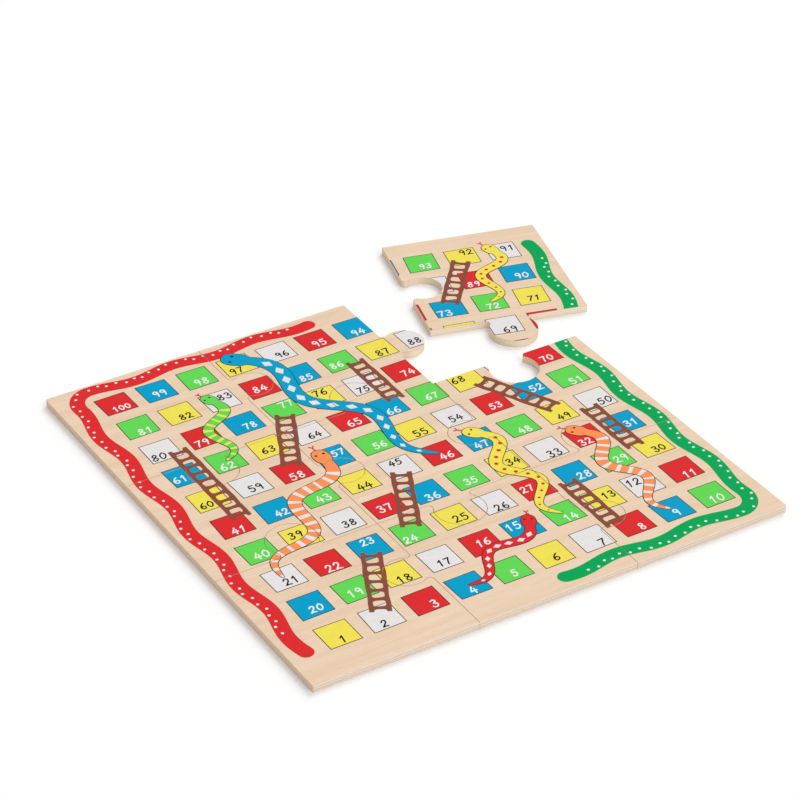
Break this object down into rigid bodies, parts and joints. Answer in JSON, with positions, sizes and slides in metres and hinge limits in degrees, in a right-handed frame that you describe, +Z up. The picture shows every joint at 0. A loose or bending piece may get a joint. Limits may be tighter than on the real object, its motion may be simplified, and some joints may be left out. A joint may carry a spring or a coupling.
{
  "type": "snakes and ladders board",
  "caption": "Flat plywood game board of plates that lock together with round jigsaw tongues, printed with coloured numbered squares, a corner plate lying loose beside its gap.",
  "frame": {"origin": "middle of the assembled board's underside, on the centre plate", "axes": "+X along a row of squares, left to right; +Y from the front row to the back row; +Z up out of the printed face"},
  "size_m": [0.3521, 0.3548, 0.0046],
  "materials": {
    "plywood": "pale birch plywood, fine grain, matt lacquer",
    "yellow_ink": "yellow printed ink on wood",
    "white_ink": "white printed ink on wood",
    "red_ink": "red printed ink on wood",
    "blue_ink": "blue printed ink on wood",
    "green_ink": "green printed ink on wood"
  },
  "bodies": {
    "centre": {"centre_plate": "plywood", "centre_yellow_squares": "yellow_ink", "centre_white_squares": "white_ink", "centre_red_squares": "red_ink", "centre_blue_squares": "blue_ink", "centre_green_squares": "green_ink"},
    "bottom_left": {"bottom_left_plate": "plywood", "bottom_left_yellow_squares": "yellow_ink", "bottom_left_white_squares": "white_ink", "bottom_left_red_squares": "red_ink", "bottom_left_blue_squares": "blue_ink", "bottom_left_green_squares": "green_ink"},
    "bottom_middle": {"bottom_middle_plate": "plywood", "bottom_middle_yellow_squares": "yellow_ink", "bottom_middle_white_squares": "white_ink", "bottom_middle_red_squares": "red_ink", "bottom_middle_blue_squares": "blue_ink", "bottom_middle_green_squares": "green_ink"},
    "bottom_right": {"bottom_right_plate": "plywood", "bottom_right_yellow_squares": "yellow_ink", "bottom_right_white_squares": "white_ink", "bottom_right_red_squares": "red_ink", "bottom_right_blue_squares": "blue_ink", "bottom_right_green_squares": "green_ink"},
    "middle_left": {"middle_left_plate": "plywood", "middle_left_yellow_squares": "yellow_ink", "middle_left_white_squares": "white_ink", "middle_left_red_squares": "red_ink", "middle_left_blue_squares": "blue_ink", "middle_left_green_squares": "green_ink"},
    "middle_right": {"middle_right_plate": "plywood", "middle_right_yellow_squares": "yellow_ink", "middle_right_white_squares": "white_ink", "middle_right_red_squares": "red_ink", "middle_right_blue_squares": "blue_ink", "middle_right_green_squares": "green_ink"},
    "top_left": {"top_left_plate": "plywood", "top_left_yellow_squares": "yellow_ink", "top_left_white_squares": "white_ink", "top_left_red_squares": "red_ink", "top_left_blue_squares": "blue_ink", "top_left_green_squares": "green_ink"},
    "top_middle": {"top_middle_plate": "plywood", "top_middle_yellow_squares": "yellow_ink", "top_middle_white_squares": "white_ink", "top_middle_red_squares": "red_ink", "top_middle_blue_squares": "blue_ink", "top_middle_green_squares": "green_ink"},
    "top_right": {"top_right_plate": "plywood", "top_right_yellow_squares": "yellow_ink", "top_right_white_squares": "white_ink", "top_right_red_squares": "red_ink", "top_right_blue_squares": "blue_ink", "top_right_green_squares": "green_ink"}
  },
  "joints": [
    {"name": "lift_bottom_left", "type": "slide", "parent": "centre", "child": "bottom_left", "axis": [0, 0, 1], "range_m": [0, 0.04]},
    {"name": "lift_bottom_middle", "type": "slide", "parent": "centre", "child": "bottom_middle", "axis": [0, 0, 1], "range_m": [0, 0.04]},
    {"name": "lift_bottom_right", "type": "slide", "parent": "centre", "child": "bottom_right", "axis": [0, 0, 1], "range_m": [0, 0.04]},
    {"name": "lift_middle_left", "type": "slide", "parent": "centre", "child": "middle_left", "axis": [0, 0, 1], "range_m": [0, 0.04]},
    {"name": "lift_middle_right", "type": "slide", "parent": "centre", "child": "middle_right", "axis": [0, 0, 1], "range_m": [0, 0.04]},
    {"name": "lift_top_left", "type": "slide", "parent": "centre", "child": "top_left", "axis": [0, 0, 1], "range_m": [0, 0.04]},
    {"name": "lift_top_middle", "type": "slide", "parent": "centre", "child": "top_middle", "axis": [0, 0, 1], "range_m": [0, 0.04]},
    {"name": "lift_top_right", "type": "slide", "parent": "centre", "child": "top_right", "axis": [0, 0, 1], "range_m": [0, 0.04]}
  ]
}
